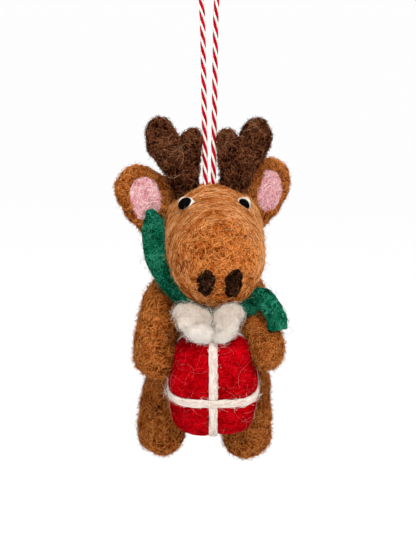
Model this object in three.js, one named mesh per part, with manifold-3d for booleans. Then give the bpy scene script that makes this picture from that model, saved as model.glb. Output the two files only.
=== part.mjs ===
// A needle-felted elk that hangs from a loop of twine and holds a wrapped gift.
// Millimetres, Z up. The elk looks along -Y, so its own left side is at +X.
// The origin is the inner side of the loop's top, where it bears on a hook.

import * as THREE from "three";
import { mergeVertices } from "three/addons/utils/BufferGeometryUtils.js";
import Module from "manifold-3d";

const wasm = await Module();
wasm.setup();

// Clearances that every fit uses
const gap = 0.3; // left between two pieces that are felted or glued together
const swingClearance = 0.35; // round each strand where it flexes at the head
const overrun = 30; // how far a cutting block runs past what it cuts

// Twine loop
const twineDiameter = 2;
const hang = 77; // from the hook down to where the twine flexes
const strandSpacing = 2.84; // between the two strands at the head
const loopLean = 0.5; // sideways from the hook to the head's exit
const knotWidth = 5.4;
const knotHeight = 4.2;

// Head: a long form, level behind and drooping towards a blunt muzzle
const craniumWidth = 35.2;
const craniumHeight = 35.4;
const muzzleWidth = 32.6;
const muzzleHeight = 36.8;
const headReach = 22.6; // between the middles of cranium and muzzle
const headPitch = 19.6; // degrees below level
const headYaw = 4.2; // degrees towards the elk's left
const headBack = 12.5; // depth of the rounded back of the head
const muzzleEnd = 13.5; // depth of the blunt end
const headForward = 5; // how far the twine enters in front of the cranium's middle
const headAside = 1.2;
const exitClearance = 0.6; // from the head's surface up to where the twine flexes

// Torso: a padded egg that leans, with the hips behind the neck
const shoulderWidth = 29;
const hipWidth = 35;
const chestDepth = 26;
const bellyDepth = 31;
const torsoDrop = 27; // from the cranium's middle down to the shoulders' middle
const torsoReach = 26; // between the middles of shoulders and hips
const torsoLean = 15; // degrees, hips backwards
const torsoBehind = 2.5; // the shoulders' middle behind the cranium's
const torsoAside = -0.5;
const torsoDome = 14;

// Legs
const legs = {
  right: { width: 17, footWidth: 16.8, hipOut: 14.4, footOut: 16.8, length: 15.8 },
  left: { width: 16.8, footWidth: 17, hipOut: 13.4, footOut: 14, length: 16.8 },
};
const hipRise = 4.5; // hip middles below the torso's lower middle
const legForward = 0.8; // feet in front of the hips

// Arms: the hands reach forward and down to the sides of the gift
const arms = {
  right: { width: 13.8, handWidth: 14.4, shoulderOut: 13.9, handOut: 18.4, reach: 20, drop: 21.6, bow: 1.4 },
  left: { width: 12.8, handWidth: 12.8, shoulderOut: 13.6, handOut: 20, reach: 23, drop: 19, bow: 1 },
};
const shoulderRise = 5; // the arms' upper ends above the torso's shoulder middle

// Ears: cupped leaves of felt with a pink pad in each
const earWidth = 19.5;
const earHeight = 23.5;
const earThickness = 4.2;
const earCup = 26; // radius that the leaf is curled to
const liningWidth = 12.6;
const liningHeight = 15.6;
const liningThickness = 2;

// Antlers: flat padded forks
const antlers = {
  right: { height: 25.6, spread: 0.98 },
  left: { height: 25.6, spread: 0.94 },
};
const antlerThickness = 6;
const antlerClearance = 0.6; // between an antler and the strand beside it

// Eyes and nostrils
const eyeDiameters = { right: 5, left: 4.4 };
const eyeLift = 0.95; // the eye's middle in front of the pad's
const eyeLean = 1; // how far both turn from the head's normal to where it looks
const eyeSurroundWidth = 8.6;
const eyeSurroundHeight = 5.4;
const eyeSurroundThickness = 3;
const nostrilWidth = 6.2;
const nostrilHeight = 10.6;
const nostrilThickness = 2.4;

// Gift: a soft block that leans forward, its back pressed on the belly
const giftWidth = 31.4;
const giftHeight = 36.4;
const giftDepth = 24;
const giftTilt = 15; // degrees, top forward
const giftDrop = 52.5; // its middle below the cranium's middle
const giftAside = 1.3;
const giftPress = 2.5; // how deep the belly sinks into its back

// Ribbons: wool laid on the gift, pressed thin where one passes under another
const ribbonThickness = 1.15;
const ribbonProud = 0.45; // how much of it stands above the gift
const ribbonPressed = 0.4;
const frontRibbonWidth = 2.9;
const sideRibbonWidth = 2.6;
const girthRibbonWidth = 2.6;
const girthDrop = 1.3; // below the gift's middle
const girthTilt = 10; // degrees, front downwards
const sideRibbonBack = 4.8; // behind the gift's middle

// Bow: fat loops of wool roving, one in front and one behind on each side
const lobeDiameter = 6.2;
const bowAside = 0.8; // toward the elk's left of the gift's middle
const bowReach = { right: 15.8, left: 8.6 };
const bowHeight = 10;
const bowDepth = 7;

// Scarf: one strip of felt, once round the neck with both ends in front
const scarfWidth = 10;
const scarfThickness = 1.6;

const feltBrown = 0xb97a45;
const darkBrown = 0x95602f;
const antlerBrown = 0x4a2c20;
const pink = 0xd99aa5;
const green = 0x0f6b4a;
const red = 0xc4071b;
const cream = 0xefe6dc;
const nearBlack = 0x14100e;
const nostrilBrown = 0x33201a;

const up = new THREE.Vector3(0, 0, 1);
const aside = new THREE.Vector3(1, 0, 0);
const degrees = THREE.MathUtils.degToRad;

// Closed meshes into solids and back

function solidOf(geometry) {
  const bare = geometry.clone();
  bare.deleteAttribute("normal");
  bare.deleteAttribute("uv");
  const merged = mergeVertices(bare, 1e-4);
  const solid = new wasm.Manifold(
    new wasm.Mesh({
      numProp: 3,
      vertProperties: new Float32Array(merged.getAttribute("position").array),
      triVerts: new Uint32Array(merged.getIndex().array),
    })
  );
  return solid;
}

function geometryOf(solid) {
  const mesh = solid.getMesh();
  const geometry = new THREE.BufferGeometry();
  geometry.setAttribute("position", new THREE.BufferAttribute(mesh.vertProperties, 3));
  geometry.setIndex(new THREE.BufferAttribute(mesh.triVerts, 1));
  geometry.computeVertexNormals();
  return geometry;
}

function cut(solid, ...tools) {
  return tools.reduce((left, tool) => left.subtract(tool), solid);
}

function largestPart(solid) {
  return solid.decompose().reduce((best, part) => (part.volume() > best.volume() ? part : best));
}

function piece(name, shape, color, roughness = 0.95) {
  const geometry = shape.isBufferGeometry ? shape : geometryOf(shape);
  const material = new THREE.MeshStandardMaterial({ color, roughness, metalness: 0 });
  const mesh = new THREE.Mesh(geometry, material);
  mesh.name = name;
  return mesh;
}

// A padded form: oval rings along a spine, closed by a dome at each end.
// Along runs from -1 at the first pole, 0 to 1 on the spine, to 2 at the last pole.

function paddedForm({ spine, halfWidths, halfDepths, domes, square = 2, blunt = 2, across = aside }) {
  const profile = (values) => {
    const curve = new THREE.SplineCurve(values.map((v, i) => new THREE.Vector2(i, v)));
    return (share) => curve.getPoint(share).y;
  };
  const widthAt = profile(halfWidths);
  const depthAt = profile(halfDepths);

  function ring(along, grow) {
    const share = THREE.MathUtils.clamp(along, 0, 1);
    const past = along - share;
    const tangent = spine.getTangent(share);
    const side = across.clone().addScaledVector(tangent, -across.dot(tangent)).normalize();
    const front = new THREE.Vector3().crossVectors(tangent, side).normalize();
    const angle = Math.abs(past) * Math.PI * 0.5;
    const dome = (past < 0 ? domes[0] : domes[1]) + grow;
    const out = Math.sign(past) * dome * Math.pow(Math.sin(angle), 2 / blunt);
    const narrow = Math.pow(Math.max(Math.cos(angle), 0), 2 / blunt);
    const centre = spine.getPoint(share).addScaledVector(tangent, out);
    return {
      centre,
      side: side.multiplyScalar((widthAt(share) + grow) * narrow),
      front: front.multiplyScalar((depthAt(share) + grow) * narrow),
    };
  }

  function point(along, turn, grow = 0) {
    const { centre, side, front } = ring(along, grow);
    const c = Math.cos(turn);
    const s = Math.sin(turn);
    return centre
      .clone()
      .addScaledVector(side, Math.sign(c) * Math.pow(Math.abs(c), 2 / square))
      .addScaledVector(front, Math.sign(s) * Math.pow(Math.abs(s), 2 / square));
  }

  function normal(along, turn) {
    const step = 0.01;
    const run = point(along + step, turn).sub(point(along - step, turn));
    const round = point(along, turn + step).sub(point(along, turn - step));
    return round.cross(run).normalize();
  }

  function geometry({ sides = 24, rings = 6, caps = 6, grow = 0 } = {}) {
    const alongs = [];
    for (let i = 1; i < caps; i += 1) alongs.push(-1 + i / caps);
    for (let i = 0; i <= rings; i += 1) alongs.push(i / rings);
    for (let i = 1; i < caps; i += 1) alongs.push(1 + i / caps);
    const points = [point(-1, 0, grow)];
    for (const along of alongs) {
      for (let k = 0; k < sides; k += 1) points.push(point(along, (k / sides) * 2 * Math.PI, grow));
    }
    points.push(point(2, 0, grow));
    const last = points.length - 1;
    const index = [];
    for (let k = 0; k < sides; k += 1) {
      const next = (k + 1) % sides;
      index.push(0, 1 + next, 1 + k);
      for (let r = 0; r + 1 < alongs.length; r += 1) {
        const low = 1 + r * sides;
        const high = low + sides;
        index.push(low + k, low + next, high + next, low + k, high + next, high + k);
      }
      index.push(last, last - sides + k, last - sides + next);
    }
    const mesh = new THREE.BufferGeometry();
    mesh.setAttribute("position", new THREE.Float32BufferAttribute(points.flatMap((p) => p.toArray()), 3));
    mesh.setIndex(index);
    return mesh;
  }

  return { point, normal, geometry, solid: (options) => solidOf(geometry(options)) };
}

// An oval pad that lies on a form, upright but for its roll
function padOn(form, along, turn, { width, height, thickness, roll = 0, grow = 0, lift = 0, lean = 0 }) {
  const out = form.normal(along, turn).addScaledVector(headAxis, lean).normalize();
  const centre = form.point(along, turn).addScaledVector(out, lift);
  const rise = up.clone().addScaledVector(out, -up.dot(out)).normalize();
  rise.applyAxisAngle(out, degrees(roll));
  const side = new THREE.Vector3().crossVectors(rise, out);
  const pad = new THREE.SphereGeometry(1, 16, 8);
  pad.scale(width * 0.5 + grow, height * 0.5 + grow, thickness * 0.5 + grow);
  pad.applyMatrix4(new THREE.Matrix4().makeBasis(side, rise, out).setPosition(centre));
  return solidOf(pad);
}

// Head. It is hung so that the twine flexes a little above its surface.

const headTurn = new THREE.Euler(degrees(headPitch), 0, degrees(headYaw));
const headAxis = new THREE.Vector3(0, -1, 0).applyEuler(headTurn);

function headAt(cranium) {
  return paddedForm({
    spine: new THREE.LineCurve3(cranium, cranium.clone().addScaledVector(headAxis, headReach)),
    halfWidths: [craniumWidth * 0.5, (craniumWidth + muzzleWidth) * 0.25, muzzleWidth * 0.5],
    halfDepths: [craniumHeight * 0.5, (craniumHeight + muzzleHeight) * 0.25, muzzleHeight * 0.5],
    domes: [headBack, muzzleEnd],
    blunt: 2.15,
  });
}

function heightOver(form, x, y) {
  const ray = new THREE.Raycaster(new THREE.Vector3(x, y, overrun * 2), up.clone().negate());
  const skin = new THREE.Mesh(form.geometry({ sides: 64, rings: 24, caps: 16 }));
  skin.material.side = THREE.DoubleSide;
  return ray.intersectObject(skin)[0].point.z;
}

const cranium = new THREE.Vector3(headAside, headForward, 0);
cranium.z = -heightOver(headAt(cranium), 0, 0) - exitClearance;
const head = headAt(cranium);
const headRings = { sides: 28, rings: 4, caps: 6 };
const headGrown = head.solid({ ...headRings, grow: gap });

// Each strand leaves through a dimple, over the pocket that the knot is drawn into.

const dimpleRadius = twineDiameter * 0.5 + swingClearance;
const knotDepth = dimpleRadius + gap + knotHeight * 0.5;

function ball(radius, x, z, flatness = 1) {
  const sphere = new THREE.SphereGeometry(radius, 12, 8);
  sphere.rotateX(degrees(90));
  sphere.scale(1, 1, flatness);
  sphere.translate(x, 0, z);
  return solidOf(sphere);
}

const dimples = [-1, 1].map((side) => ball(dimpleRadius, side * strandSpacing * 0.5, 0));
const pocket = ball(knotWidth * 0.5 + gap, 0, -knotDepth, (knotHeight + 2 * gap) / (knotWidth + 2 * gap));
const throat = new THREE.CylinderGeometry(twineDiameter * 0.5, twineDiameter * 0.5, knotDepth, 12);
throat.rotateX(degrees(90));
throat.translate(0, 0, -knotDepth * 0.5);
const headSolid = cut(head.solid(headRings), ...dimples, pocket, solidOf(throat));
const knot = ball(knotWidth * 0.5, 0, -knotDepth, knotHeight / knotWidth);

// Torso

const shoulders = cranium.clone().add(new THREE.Vector3(torsoAside - headAside, torsoBehind, -torsoDrop));
const torsoAxis = new THREE.Vector3(0, 0, -1).applyEuler(new THREE.Euler(degrees(torsoLean), 0, 0));
const hips = shoulders.clone().addScaledVector(torsoAxis, torsoReach);
const torso = paddedForm({
  spine: new THREE.LineCurve3(shoulders, hips),
  halfWidths: [shoulderWidth * 0.5, (shoulderWidth + hipWidth) * 0.27, hipWidth * 0.5],
  halfDepths: [chestDepth * 0.5, (chestDepth + bellyDepth) * 0.265, bellyDepth * 0.5],
  domes: [torsoDome, torsoDome],
});
const torsoRings = { sides: 26, rings: 4, caps: 5 };
const torsoGrown = torso.solid({ ...torsoRings, grow: gap });

// Gift, in a frame of its own whose Z runs up the block

const giftUp = up.clone().applyEuler(new THREE.Euler(degrees(giftTilt), 0, 0));
const giftBack = new THREE.Vector3().crossVectors(giftUp, aside);
const giftHeightNow = cranium.z - giftDrop;
const bellyShare = (shoulders.z - giftHeightNow) / (shoulders.z - hips.z);
const bellyFront = shoulders.y + (hips.y - shoulders.y) * bellyShare - bellyDepth * 0.5;
const giftCentre = new THREE.Vector3(giftAside, bellyFront + giftPress - giftDepth * 0.5, giftHeightNow);
const giftFrame = new THREE.Matrix4().makeBasis(aside, giftBack, giftUp).setPosition(giftCentre);
const giftDome = giftHeight * 0.24;
const giftSpine = giftHeight * 0.5 - giftDome;
const giftWidthShares = [0.93, 1, 0.98, 0.88]; // from the bottom up
const gift = paddedForm({
  spine: new THREE.LineCurve3(
    giftCentre.clone().addScaledVector(giftUp, -giftSpine),
    giftCentre.clone().addScaledVector(giftUp, giftSpine)
  ),
  halfWidths: giftWidthShares.map((share) => share * giftWidth * 0.5),
  halfDepths: giftWidthShares.map((share) => share * giftDepth * 0.5),
  domes: [giftDome, giftDome],
  square: 3.2,
  blunt: 2.5,
});
const giftRings = { sides: 32, rings: 4, caps: 5 };
const giftShell = (grow) => gift.solid({ ...giftRings, grow });

function slab(width, depth, height, { back = 0, rise = 0, tilt = 0 } = {}) {
  const block = new THREE.BoxGeometry(width, depth, height);
  block.rotateX(degrees(tilt));
  block.translate(0, back, rise);
  block.applyMatrix4(giftFrame);
  return solidOf(block);
}

const frontSlab = (width) => slab(width, giftDepth + overrun, giftHeight + overrun);
const sideSlab = (width) =>
  slab(giftWidth + overrun, width, giftHeight + overrun, { back: sideRibbonBack });
const girthSlab = (width) =>
  slab(giftWidth + overrun, giftDepth + overrun, width, { rise: -girthDrop, tilt: girthTilt });

// The ribbons are needled into grooves, and stand a little above the gift.
const ribbonDepth = ribbonProud - ribbonThickness;
const ribbonOuter = giftShell(ribbonProud);
const ribbonInner = giftShell(ribbonDepth);
const pressedTop = giftShell(ribbonDepth + ribbonPressed);
const overPressed = giftShell(ribbonDepth + ribbonPressed + gap);
const wool = ribbonOuter.subtract(ribbonInner);
const topLayer = ribbonOuter.subtract(pressedTop);

const frontWay = frontSlab(frontRibbonWidth + 2 * gap);
const sideWay = sideSlab(sideRibbonWidth + 2 * gap);
const girthWay = girthSlab(girthRibbonWidth + 2 * gap);
const grooves = frontWay.add(sideWay).add(girthWay).subtract(giftShell(ribbonDepth - gap));
const overSide = sideWay.intersect(overPressed);
const overFront = frontWay.intersect(overPressed);
const giftSolid = cut(giftShell(0), torsoGrown, grooves);
const ribbonSide = cut(
  wool.intersect(sideSlab(sideRibbonWidth)),
  topLayer.intersect(frontWay),
  topLayer.intersect(girthWay),
  torsoGrown
);
const ribbonFront = cut(
  wool.intersect(frontSlab(frontRibbonWidth)),
  overSide,
  topLayer.intersect(girthWay),
  torsoGrown
);
const ribbonGirth = cut(wool.intersect(girthSlab(girthRibbonWidth)), overSide, overFront, torsoGrown);
const giftWrapped = giftShell(ribbonProud + gap);

// Scarf. Places are shares of the head's width from the cranium's middle, and
// each has the way that the strip's width lies there.

const scarfPlaceShares = [
  [-0.633, -0.14, 0.215],
  [-0.6, -0.15, 0.09],
  [-0.585, -0.19, -0.075],
  [-0.545, -0.24, -0.25],
  [-0.475, -0.28, -0.39],
  [-0.39, -0.345, -0.515],
  [-0.3, -0.42, -0.63],
  [-0.145, -0.42, -0.735],
  [0.017, -0.42, -0.795],
  [0.175, -0.43, -0.785],
  [0.3, -0.46, -0.735],
  [0.406, -0.5, -0.66],
  [0.495, -0.545, -0.65],
  [0.575, -0.585, -0.72],
  [0.63, -0.61, -0.825],
  [0.645, -0.62, -0.945],
];
const scarfLieShares = [
  [-0.9, 0.42, 0.1],
  [-0.9, 0.42, 0],
  [-0.9, 0.42, 0],
  [-0.86, 0.45, -0.2],
  [-0.7, 0.55, -0.5],
  [-0.45, 0.6, -0.65],
  [-0.3, 0.64, -0.7],
  [-0.12, 0.66, -0.75],
  [0, 0.66, -0.75],
  [0.05, 0.6, -0.8],
  [0.05, 0.4, -0.9],
  [-0.05, 0.1, -1],
  [-0.2, -0.2, -0.95],
  [-0.5, -0.4, -0.78],
  [-0.68, -0.45, -0.6],
  [-0.72, -0.45, -0.55],
];
const scarfWidthShares = [0.2, 0.75, 0.88, 0.98, 1, 0.98, 0.96, 1, 1, 0.98, 0.88, 0.78, 0.72, 0.7, 0.7, 0.66];
const scarfSteps = 48;

function scarfSolid(grow = 0) {
  const place = (shares) =>
    new THREE.Vector3(...shares).multiplyScalar(craniumWidth).add(cranium);
  const path = new THREE.CatmullRomCurve3(scarfPlaceShares.map(place), false, "centripetal");
  const lies = new THREE.CatmullRomCurve3(scarfLieShares.map((lie) => new THREE.Vector3(...lie)));
  const widths = new THREE.SplineCurve(scarfWidthShares.map((share, i) => new THREE.Vector2(i, share)));
  const points = [];
  for (let i = 0; i <= scarfSteps; i += 1) {
    const share = i / scarfSteps;
    const tangent = path.getTangent(share);
    const end = i === 0 ? -grow : i === scarfSteps ? grow : 0;
    const centre = path.getPoint(share).addScaledVector(tangent, end);
    const lie = lies.getPoint(share);
    lie.addScaledVector(tangent, -lie.dot(tangent)).normalize();
    const face = new THREE.Vector3().crossVectors(tangent, lie);
    const half = widths.getPoint(share).y * scarfWidth * 0.5 + grow;
    const thick = scarfThickness * 0.5 + grow;
    for (const [w, t] of [[-1, -1], [1, -1], [1, 1], [-1, 1]]) {
      points.push(centre.clone().addScaledVector(lie, w * half).addScaledVector(face, t * thick));
    }
  }
  const index = [0, 2, 1, 0, 3, 2];
  for (let i = 0; i < scarfSteps; i += 1) {
    for (let k = 0; k < 4; k += 1) {
      const a = i * 4 + k;
      const b = i * 4 + ((k + 1) % 4);
      index.push(a, b, b + 4, a, b + 4, a + 4);
    }
  }
  const end = scarfSteps * 4;
  index.push(end, end + 1, end + 2, end, end + 2, end + 3);
  const mesh = new THREE.BufferGeometry();
  mesh.setAttribute("position", new THREE.Float32BufferAttribute(points.flatMap((p) => p.toArray()), 3));
  mesh.setIndex(index);
  return solidOf(mesh);
}

const scarf = cut(scarfSolid(), headGrown, giftWrapped);
const scarfGrown = scarfSolid(gap);
const torsoSolid = cut(torso.solid(torsoRings), headGrown, scarfGrown);

// Limbs

function limb(from, to, halfFrom, halfTo, bow = new THREE.Vector3()) {
  const middle = from.clone().lerp(to, 0.5).add(bow);
  return paddedForm({
    spine: new THREE.QuadraticBezierCurve3(from, middle, to),
    halfWidths: [halfFrom, (halfFrom + halfTo) * 0.5, halfTo],
    halfDepths: [halfFrom, (halfFrom + halfTo) * 0.5, halfTo],
    domes: [halfFrom, halfTo],
  });
}

const limbRings = { sides: 18, rings: 5, caps: 4 };

function legOn(side, { width, footWidth, hipOut, footOut, length }) {
  const hip = hips.clone().add(new THREE.Vector3(side * hipOut, 0, -hipRise));
  const foot = hip.clone().add(new THREE.Vector3(side * (footOut - hipOut), -legForward, -length));
  return limb(hip, foot, width * 0.5, footWidth * 0.5);
}

function armOn(side, { width, handWidth, shoulderOut, handOut, reach, drop, bow }) {
  const top = shoulders.clone().add(new THREE.Vector3(side * shoulderOut, 0, shoulderRise));
  const hand = top.clone().add(new THREE.Vector3(side * (handOut - shoulderOut), -reach, -drop));
  return limb(top, hand, width * 0.5, handWidth * 0.5, new THREE.Vector3(side * bow * 2, 0, 0));
}

const legForms = { right: legOn(-1, legs.right), left: legOn(1, legs.left) };
const armForms = { right: armOn(-1, arms.right), left: armOn(1, arms.left) };

function legSolid(side) {
  const form = legForms[side].solid(limbRings);
  return cut(form, torsoGrown, giftWrapped);
}

function armSolid(side) {
  const form = armForms[side].solid(limbRings);
  const leg = legForms[side].solid({ ...limbRings, grow: gap });
  return cut(form, torsoGrown, headGrown, giftWrapped, scarfGrown, leg);
}

// Antlers and ears are cut flat from an outline and rounded like a cushion.

function cushion(shares, size, thickness, roundness) {
  const curve = new THREE.CatmullRomCurve3(
    shares.map(([x, y]) => new THREE.Vector3(x * size, y * size, 0)),
    true,
    "centripetal"
  );
  const outline = curve.getSpacedPoints(36).slice(0, -1);
  const shape = new THREE.Shape(outline.map((p) => new THREE.Vector2(p.x, p.y)));
  const round = thickness * roundness;
  const geometry = new THREE.ExtrudeGeometry(shape, {
    depth: thickness - 2 * round,
    bevelThickness: round,
    bevelSize: round,
    bevelOffset: -round,
    bevelSegments: 2,
  });
  geometry.translate(0, 0, round - thickness * 0.5);
  geometry.rotateX(degrees(90));
  return geometry;
}

// Outline of the fork on the elk's left, as shares of its height from its root
const antlerShares = [
  [0.15, -0.24],
  [0.21, -0.05],
  [0.35, 0.18],
  [0.51, 0.4],
  [0.565, 0.54],
  [0.58, 0.68],
  [0.52, 0.82],
  [0.405, 0.88],
  [0.29, 0.84],
  [0.21, 0.74],
  [0.155, 0.63],
  [0.115, 0.55],
  [0.065, 0.65],
  [-0.04, 0.725],
  [-0.14, 0.7],
  [-0.18, 0.61],
  [-0.17, 0.4],
  [-0.13, 0.14],
  [-0.14, -0.06],
  [-0.11, -0.22],
];
const antlerInnerShare = 0.18;
const strandReach = (strandSpacing + twineDiameter) * 0.5;
const antlerBehind = 0.8; // behind the twine, to the middle of the felt

function antlerSolid(side, { height, spread }) {
  const fork = cushion(antlerShares, height, antlerThickness, 0.38);
  fork.scale(spread, 1, 1);
  const outline = solidOf(fork);
  const placed = side < 0 ? outline.mirror([1, 0, 0]) : outline;
  const out = strandReach + antlerClearance + antlerInnerShare * height * spread;
  return cut(placed.translate([side * out, antlerBehind, 0]), headGrown);
}

// Outline of the ear on the elk's left, as shares of its height from its root
const earShares = [
  [-0.12, 0.1],
  [-0.1, 0.3],
  [0.0, 0.52],
  [0.16, 0.72],
  [0.36, 0.84],
  [0.58, 0.82],
  [0.72, 0.66],
  [0.74, 0.44],
  [0.67, 0.2],
  [0.54, -0.02],
  [0.38, -0.2],
  [0.18, -0.27],
  [-0.04, -0.14],
];
const liningShares = { out: 0.36, up: 0.36 };
const ears = {
  right: { out: 14.2, back: 3.2, rise: 4.6, turn: -10, roll: 8, stretch: 1.08 },
  left: { out: 10.8, back: 3.2, rise: 7.4, turn: 38, roll: 10, stretch: 1 },
};

function curl(geometry) {
  const place = geometry.getAttribute("position");
  for (let i = 0; i < place.count; i += 1) {
    const x = place.getX(i) - liningShares.out * earHeight;
    place.setY(i, place.getY(i) - (x * x) / (2 * earCup));
  }
  return geometry;
}

function earParts(side, { out, back, rise, turn, roll, stretch }) {
  const leaf = curl(cushion(earShares, earHeight, earThickness, 0.4));
  leaf.scale((stretch * earWidth) / (0.83 * earHeight), 1, 1);
  const pad = new THREE.SphereGeometry(1, 18, 8);
  const dish = new THREE.SphereGeometry(1, 18, 8);
  const middle = [
    liningShares.out * earHeight * stretch,
    -earThickness * 0.5,
    liningShares.up * earHeight,
  ];
  const halves = [liningWidth * 0.5, liningThickness * 0.5, liningHeight * 0.5];
  pad.scale(...halves).translate(...middle);
  dish.scale(...halves.map((half) => half + gap)).translate(...middle);
  const place = new THREE.Matrix4()
    .makeTranslation(cranium.x + side * out, cranium.y + back, cranium.z + rise)
    .multiply(new THREE.Matrix4().makeRotationZ(degrees(side * turn)))
    .multiply(new THREE.Matrix4().makeRotationY(degrees(side * roll)))
    .multiply(new THREE.Matrix4().makeScale(side, 1, 1));
  const parts = [leaf, dish, pad].map((geometry) => {
    const local = solidOf(geometry);
    return local.transform(place.toArray());
  });
  return {
    ear: cut(parts[0], parts[1], headGrown, scarfGrown),
    lining: cut(parts[2], headGrown, scarfGrown),
  };
}

const earSolids = { right: earParts(-1, ears.right), left: earParts(1, ears.left) };

// Eyes and nostrils, placed on the head by share along it and degrees round it
const eyes = {
  right: { along: 0.56, turn: 122, roll: -32 },
  left: { along: 0.48, turn: 55.5, roll: 42 },
};
const padAheadShare = 0.03; // how far the pad lies ahead of the eye
const nostrils = {
  right: { along: 1.74, turn: 225, roll: -8 },
  left: { along: 1.74, turn: 311, roll: 6 },
};

function eyeParts({ along, turn, roll }, diameter) {
  const surround = {
    width: eyeSurroundWidth,
    height: eyeSurroundHeight,
    thickness: eyeSurroundThickness,
    lean: eyeLean,
    roll,
  };
  const bead = { width: diameter, height: diameter, thickness: diameter, lean: eyeLean, lift: eyeLift };
  const ahead = along + padAheadShare;
  const white = padOn(head, ahead, degrees(turn), surround);
  const whiteGrown = padOn(head, ahead, degrees(turn), { ...surround, grow: gap });
  return {
    white: cut(white, headGrown),
    bead: largestPart(cut(padOn(head, along, degrees(turn), bead), headGrown, whiteGrown)),
  };
}

const eyeSolids = {
  right: eyeParts(eyes.right, eyeDiameters.right),
  left: eyeParts(eyes.left, eyeDiameters.left),
};

function nostrilSolid({ along, turn, roll }) {
  const size = { width: nostrilWidth, height: nostrilHeight, thickness: nostrilThickness, roll };
  return cut(padOn(head, along, degrees(turn), size), headGrown);
}

// Bow. Each lobe runs between two places, out, back and up from the bow's root.
const lobeShares = [
  { from: [0.23, 0.5, 0.36], to: [0.7, 0.12, 0.76], fill: [0.42, 0.56, 0.52] },
  { from: [0.3, 0.8, 0.88], to: [0.68, 0.66, 1.04], fill: [0.48, 0.62, 0.58] },
];
const bowRoot = new THREE.Vector3(bowAside, -giftDepth * 0.39, giftHeight * 0.45);

function bowSolid(side, reach) {
  const place = ([x, y, z]) =>
    new THREE.Vector3(side * x * reach, y * bowDepth, z * bowHeight).add(bowRoot).applyMatrix4(giftFrame);
  const lobes = lobeShares.map(({ from, to, fill }) => {
    const halves = fill.map((share) => share * lobeDiameter);
    const form = paddedForm({
      spine: new THREE.LineCurve3(place(from), place(to)),
      halfWidths: halves,
      halfDepths: halves,
      domes: [halves[0], halves[2]],
      across: up,
    });
    return form.solid({ sides: 16, rings: 4, caps: 4 });
  });
  return cut(lobes[0].add(lobes[1]), headGrown, scarfGrown, giftWrapped, torsoGrown);
}

// Twine: up one strand, round the hook and down the other. Places are in
// millimetres from the hook, sideways and up.
const twineRoute = [
  [-0.92, -77],
  [-1.02, -70],
  [-1.18, -60],
  [-1.35, -50],
  [-1.52, -40],
  [-1.7, -30],
  [-1.95, -20],
  [-2.35, -13],
  [-3.2, -8],
  [-3.95, -4.5],
  [-4.0, -2.2],
  [-3.2, -0.4],
  [-1.7, 0.7],
  [0, 1],
  [1.7, 0.7],
  [3.2, -0.4],
  [4.05, -2.2],
  [4.15, -4.5],
  [3.6, -8],
  [3.05, -13],
  [2.75, -20],
  [2.6, -30],
  [2.45, -40],
  [2.3, -50],
  [2.13, -60],
  [1.98, -70],
  [1.92, -77],
];

function twineGeometry() {
  const path = new THREE.CatmullRomCurve3(
    twineRoute.map(([x, z]) => new THREE.Vector3(x, 0, z)),
    false,
    "centripetal"
  );
  const section = new THREE.Shape();
  section.absarc(0, 0, twineDiameter * 0.5, 0, 2 * Math.PI);
  return new THREE.ExtrudeGeometry(section, { extrudePath: path, steps: 64, curveSegments: 4 });
}

const elk = new THREE.Group();
elk.position.set(loopLean, 0, -hang);
elk.add(
  piece("head", headSolid, feltBrown),
  piece("twine_knot", knot, cream),
  piece("torso", torsoSolid, darkBrown),
  piece("scarf", scarf, green),
  piece("gift_box", giftSolid, red),
  piece("ribbon_front", ribbonFront, cream),
  piece("ribbon_side", ribbonSide, cream),
  piece("ribbon_girth", ribbonGirth, cream)
);
for (const [name, side] of Object.entries({ right: -1, left: 1 })) {
  elk.add(
    piece(`ear_${name}`, earSolids[name].ear, feltBrown),
    piece(`ear_lining_${name}`, earSolids[name].lining, pink),
    piece(`antler_${name}`, antlerSolid(side, antlers[name]), antlerBrown),
    piece(`eye_surround_${name}`, eyeSolids[name].white, cream),
    piece(`eye_${name}`, eyeSolids[name].bead, nearBlack, 0.3),
    piece(`nostril_${name}`, nostrilSolid(nostrils[name]), nostrilBrown),
    piece(`arm_${name}`, armSolid(name), darkBrown),
    piece(`leg_${name}`, legSolid(name), darkBrown),
    piece(`bow_${name}`, bowSolid(side, bowReach[name]), cream)
  );
}

const ornament = new THREE.Group();
ornament.add(elk, piece("twine_loop", twineGeometry(), cream));

export default ornament;
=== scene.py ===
# %% [markdown]
# # A needle-felted elk on a loop of twine
# The ornament is made of dyed wool: fibres are wound and stabbed with a barbed
# needle until they hold together as firm, slightly hairy forms. The solids come
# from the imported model, and each one is dressed here as felt, roving or twine.

# %% Load the frame
import math

import bmesh
import bpy
import numpy as np
from mathutils import Matrix, Vector, noise
from mathutils.bvhtree import BVHTree


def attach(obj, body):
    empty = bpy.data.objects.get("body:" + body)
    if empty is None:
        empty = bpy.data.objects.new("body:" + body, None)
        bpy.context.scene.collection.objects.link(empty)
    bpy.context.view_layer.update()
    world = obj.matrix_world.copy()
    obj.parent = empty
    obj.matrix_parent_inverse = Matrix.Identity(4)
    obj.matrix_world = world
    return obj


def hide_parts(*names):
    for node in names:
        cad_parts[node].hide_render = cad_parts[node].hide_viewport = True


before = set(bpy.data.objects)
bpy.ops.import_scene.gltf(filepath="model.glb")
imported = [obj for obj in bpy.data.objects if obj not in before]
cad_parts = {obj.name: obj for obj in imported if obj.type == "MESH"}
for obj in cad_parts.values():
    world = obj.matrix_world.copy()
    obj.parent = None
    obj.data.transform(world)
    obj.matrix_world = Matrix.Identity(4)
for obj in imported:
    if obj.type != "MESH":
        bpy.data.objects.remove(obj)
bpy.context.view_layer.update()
MM = 0.001

# %% [markdown]
# ## Camera
# The ornament was seen nearly level, from a little above, through a long lens.
# A camera one metre away has that flat look. The picture's height in
# millimetres at the twine sets the lens, so nothing is scaled to fit.

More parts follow.
